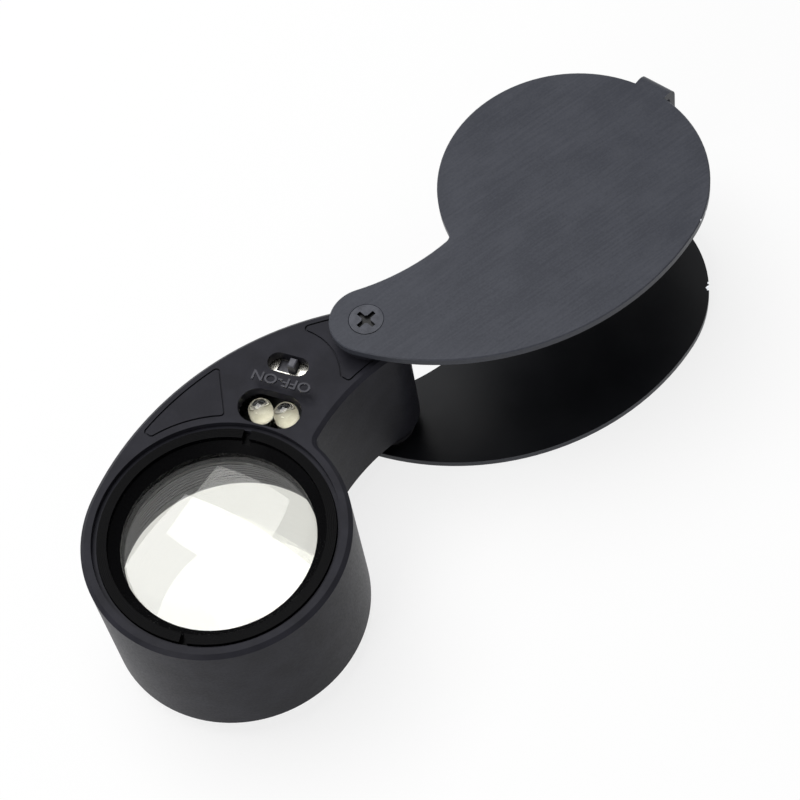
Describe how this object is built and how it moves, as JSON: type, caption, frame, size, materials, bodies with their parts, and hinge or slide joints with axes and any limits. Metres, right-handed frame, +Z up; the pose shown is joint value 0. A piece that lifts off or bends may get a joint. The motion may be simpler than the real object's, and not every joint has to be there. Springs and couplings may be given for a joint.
{
  "type": "folding hand lens",
  "caption": "Folding lit hand lens: a round glass magnifier in a comma-shaped body that swings out of a bent sheet-metal cover.",
  "frame": {"origin": "under the centre of the cover's round end, on the outer face of its lower plate", "axes": "+X from the pivot towards the cover's round end, +Z up along the pivot and the lens axis"},
  "size_m": [0.1058, 0.0477, 0.0284],
  "materials": {
    "cover_paint": "satin black paint on bent steel sheet",
    "black_steel": "black oxide steel, satin",
    "plated_steel": "bright nickel plate",
    "nylon": "black nylon",
    "housing_plastic": "moulded black plastic, fine satin grain",
    "ring_black": "black anodised turned metal, satin",
    "lens_glass": "polished clear glass",
    "board_laminate": "glass laminate under black solder mask",
    "chip_ceramic": "black glazed ceramic",
    "lamp_epoxy": "water-clear epoxy",
    "tinned_wire": "tinned wire",
    "lever_plastic": "dark grey moulded plastic",
    "cell_steel": "bright nickel-plated steel can"
  },
  "bodies": {
    "cover": {"cover": "cover_paint", "pivot_sleeve": "plated_steel", "pivot_screw_top": "black_steel", "pivot_screw_bottom": "black_steel", "pivot_washer_top": "nylon", "pivot_washer_bottom": "nylon"},
    "lens_body": {"lens_housing": "housing_plastic", "top_lens_ring": "ring_black", "eye_lens": "lens_glass", "lens_spacer": "ring_black", "field_lens": "lens_glass", "bottom_lens_ring": "ring_black", "circuit_board": "board_laminate", "chip_resistor": "chip_ceramic", "lamp_off_side": "lamp_epoxy", "lamp_on_side": "lamp_epoxy", "lamp_leads": "tinned_wire", "switch_shell": "plated_steel", "switch_floor_block": "lever_plastic", "switch_terminals": "tinned_wire", "button_cell_1": "cell_steel", "button_cell_2": "cell_steel", "button_cell_3": "cell_steel", "battery_spring": "plated_steel", "battery_strip": "plated_steel", "base_cover": "housing_plastic", "base_screws": "black_steel"},
    "switch_lever": {"switch_lever": "lever_plastic"},
    "battery_door": {"battery_door": "housing_plastic"}
  },
  "joints": [
    {"name": "lens_swing", "type": "hinge", "parent": "cover", "child": "lens_body", "pos_m": [-0.03475, 0, 0.0142], "axis": [0, 0, 1], "continuous": true},
    {"name": "switch_slide", "type": "slide", "parent": "lens_body", "child": "switch_lever", "axis": [-0.5505, 0.8348, 0], "range_m": [0, 0.0015]},
    {"name": "battery_door_lift", "type": "slide", "parent": "lens_body", "child": "battery_door", "axis": [0, 0, -1], "range_m": [0, 0.0022]}
  ]
}
